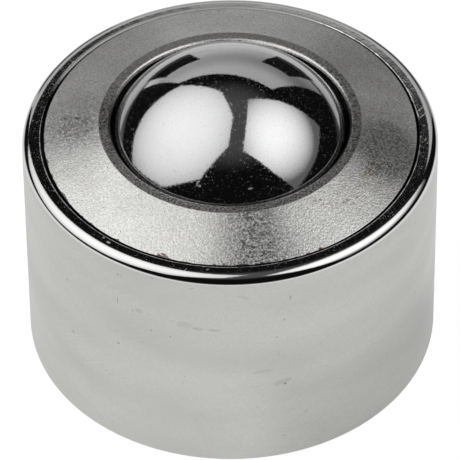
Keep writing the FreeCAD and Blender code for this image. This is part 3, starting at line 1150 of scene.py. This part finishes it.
def add_floor():
    """Floor that takes the object's shadow and glows for the rest."""
    material, tree, surface = stage_material("pale_floor")
    shade = tree.nodes.new("ShaderNodeBsdfDiffuse")
    shade.inputs["Color"].default_value = grey(FLOOR_SHADE_SHARE)
    both = tree.nodes.new("ShaderNodeAddShader")
    feed(tree, both.inputs[0], shade.outputs[0])
    feed(tree, both.inputs[1], glow_shader(tree, floor_glow(tree)))
    feed(tree, surface, both.outputs[0])
    shape = bmesh.new()
    bmesh.ops.create_circle(shape, cap_ends=True, segments=FLOOR_SIDES, radius=FLOOR_RADIUS)
    stage_piece("floor", shape, material)


def backdrop_glow(tree):
    """White to the camera, and in the metal brighter at the foot and the top, and towards the left."""
    x, _, z = separate(tree, object_place(tree))
    lower = between(tree, z, *BACKDROP_FOOT_HEIGHTS, BACKDROP_FOOT_LEVEL, BACKDROP_MIDDLE_LEVEL)
    upper = between(tree, z, *BACKDROP_TOP_HEIGHTS, 0.0, BACKDROP_TOP_LEVEL - BACKDROP_MIDDLE_LEVEL)
    right = larger(tree, x, multiply(tree, x, BACKDROP_LEFT_GAIN))
    fall = between(tree, z, *BACKDROP_FALL_HEIGHTS, BACKDROP_FALL, BACKDROP_FALL_ABOVE * BACKDROP_FALL)
    share = opposite(tree, multiply(tree, right, fall))
    in_gloss = multiply(tree, multiply(tree, seen_in_gloss(tree), share), add(tree, lower, upper))
    return larger(tree, seen_by_camera(tree), in_gloss)


def add_backdrop():
    shape = bmesh.new()
    shape.faces.new([shape.verts.new((x, BACKDROP_DISTANCE, z)) for x, z in BACKDROP_CORNERS])
    stage_piece("backdrop", shape, glow_material("pale_backdrop", backdrop_glow))


def add_dark_card(name, near_azimuth, far_azimuth, high):
    """Dark card before the backdrop, with its foot on the paper, between two azimuths seen from the ball."""
    shape = bmesh.new()

    def corner(azimuth, elevation, distance, height):
        """Where a direction from a height on the centre line reaches a distance behind the object."""
        ray = direction(azimuth, elevation)
        return shape.verts.new(UP * height * MM + ray * (distance / ray.y))

    crease = [corner(azimuth, 0, CARD_DISTANCE, CARD_CLEARANCE) for azimuth in (near_azimuth, far_azimuth)]
    top = [corner(azimuth, high, CARD_DISTANCE, BODY_HEIGHT) for azimuth in (far_azimuth, near_azimuth)]
    foot = [corner(azimuth, 0, CARD_FOOT_DISTANCE, CARD_CLEARANCE) for azimuth in (near_azimuth, far_azimuth)]
    shape.faces.new(crease + top)
    shape.faces.new(crease[::-1] + foot)
    material, tree, shader = new_material(name)
    shader.inputs["Base Color"].default_value = grey(CARD_TONE)
    shader.inputs["Roughness"].default_value = 1.0
    card = stage_piece(name, shape, material)
    card.visible_camera = False
    card.visible_shadow = False


def mirrored_place(toward):
    """Point of the ball that mirrors the camera's view into a direction."""
    forward = camera_axes()[2]
    return UP * BALL_Z * MM + (toward - forward).normalized() * BALL_RADIUS * MM


def add_softbox(name, outline, middle, distance, level, bright_spot, fall):
    """Flat glowing panel that faces the ball, at a distance in metres."""
    ball_centre = UP * BALL_Z * MM
    toward = direction(*middle)
    sideways = toward.cross(UP).normalized()
    upward = sideways.cross(toward)
    shape = bmesh.new()
    corners = []
    for corner in outline:
        ray = direction(*corner)
        start = mirrored_place(ray)
        travel = (distance - (start - ball_centre).dot(toward)) / ray.dot(toward)
        corners.append(shape.verts.new(start + ray * travel))
    shape.faces.new(corners)

    def falling_level(tree):
        share = 1.0
        reach = calculate_vector(tree, "SUBTRACT", object_place(tree), ball_centre)
        for axis, spot, loss in zip((sideways, upward), bright_spot, fall):
            along = calculate_vector(tree, "DOT_PRODUCT", reach, axis / distance)
            offset = calculate(tree, "SUBTRACT", along, spot)
            share = calculate(tree, "SUBTRACT", share, multiply(tree, multiply(tree, offset, offset), loss))
        return multiply(tree, larger(tree, share, BOX_LEAST_SHARE), level)

    stage_piece(name, shape, glow_material(name, falling_level)).visible_camera = False


def add_dark_studio():
    """White to the camera, and dark to all else but for a dim ceiling."""
    world = bpy.data.worlds.new("dark_studio")
    world.use_nodes = True
    tree = world.node_tree
    _, _, upward = separate(tree, tree.nodes.new("ShaderNodeTexCoord").outputs["Generated"])
    level = between(tree, upward, *CEILING_START, STUDIO_DARK, STUDIO_CEILING)
    feed(tree, tree.nodes["Background"].inputs["Color"], larger(tree, level, seen_by_camera(tree)))
    bpy.context.scene.world = world


add_camera()
bpy.context.scene.view_settings.view_transform = "Standard"
add_floor()
add_backdrop()
add_dark_card("left_card", *CARD_LEFT)
add_dark_card("right_card", *CARD_RIGHT)
add_softbox("left_softbox", **LEFT_BOX)
add_softbox("right_softbox", **RIGHT_BOX)
add_dark_studio()

make_housing(plated_steel())
make_cap(cap_steel())
make_ball(chromed_ball())
dress_inner_parts()
